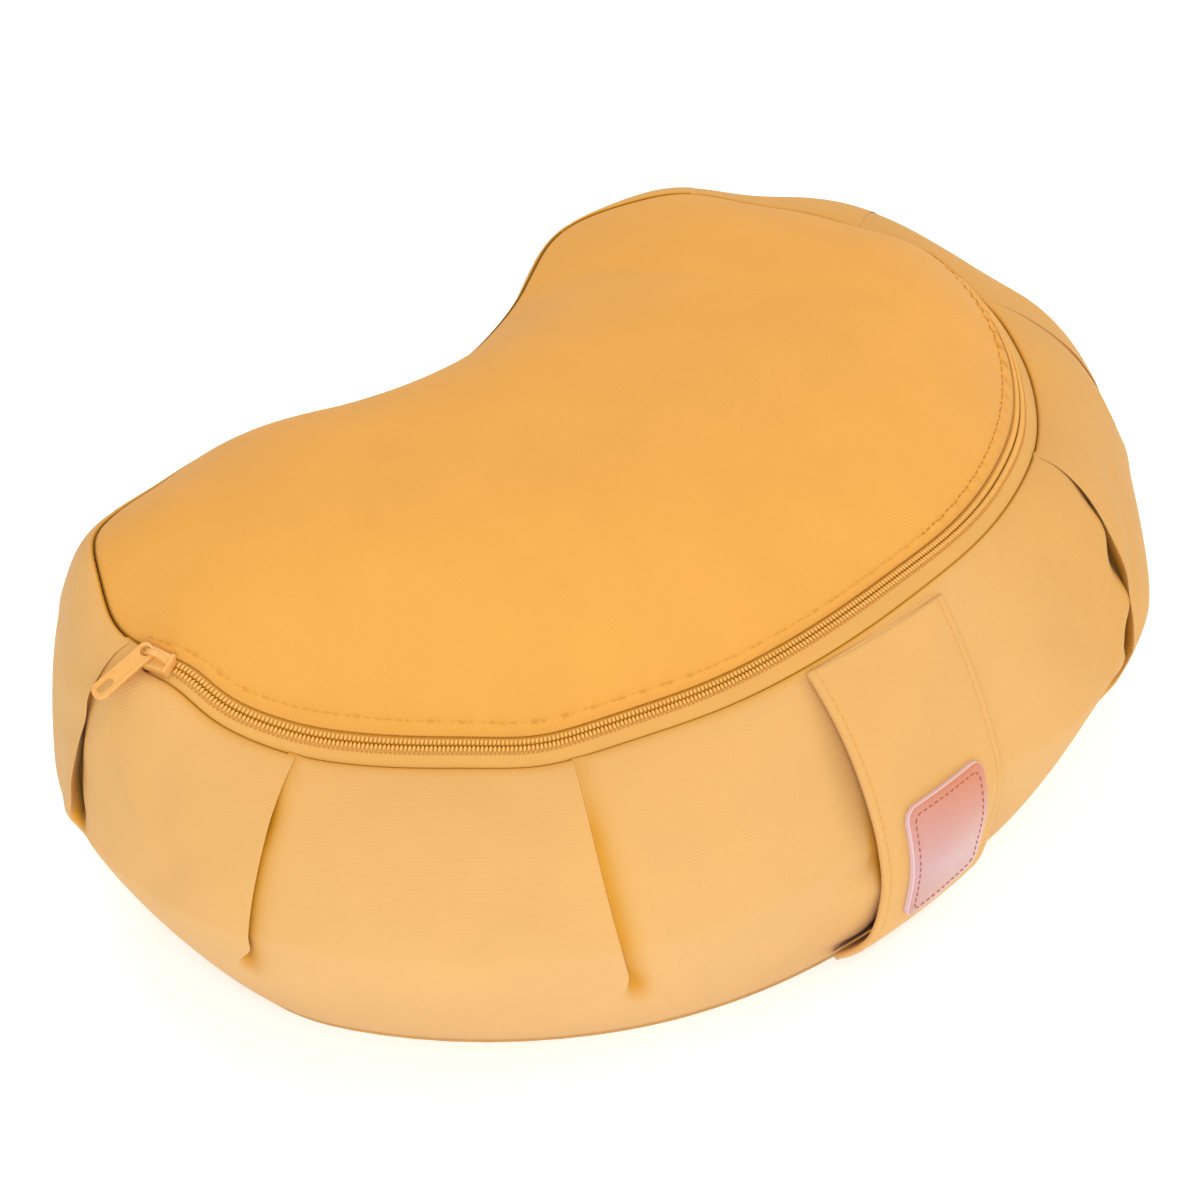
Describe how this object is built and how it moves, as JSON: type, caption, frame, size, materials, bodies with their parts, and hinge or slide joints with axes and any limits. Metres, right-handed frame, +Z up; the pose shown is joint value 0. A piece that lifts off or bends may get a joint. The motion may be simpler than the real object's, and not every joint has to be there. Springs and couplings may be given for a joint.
{
  "type": "crescent meditation cushion",
  "caption": "Filled crescent floor cushion with pleated sides, a crowned top panel, a zip round the broad front and a carrying strap with a small blank patch.",
  "frame": {"origin": "middle of the underside's bounding box, on the floor", "axes": "+X along the crescent towards one horn, +Y towards the notch, away from the zip and the strap, +Z up"},
  "size_m": [0.4268, 0.2892, 0.1579],
  "materials": {
    "side_cloth": "matt woven cotton",
    "top_cloth": "matt woven cotton",
    "zip_tape": "matt woven polyester tape",
    "zip_teeth": "dyed nylon",
    "zip_metal": "satin paint in the cloth's colour",
    "strap_cloth": "matt woven cotton",
    "patch_leather": "satin coated leather"
  },
  "bodies": {
    "root": {"cushion_body": "side_cloth", "top_panel": "top_cloth", "bottom_panel": "top_cloth", "zip_tape_outer": "zip_tape", "zip_tape_inner": "zip_tape", "zip_coil_outer": "zip_teeth", "zip_coil_inner": "zip_teeth", "zip_slider": "zip_metal", "zip_pull": "zip_metal", "carry_strap": "strap_cloth", "strap_patch": "patch_leather"}
  },
  "joints": []
}
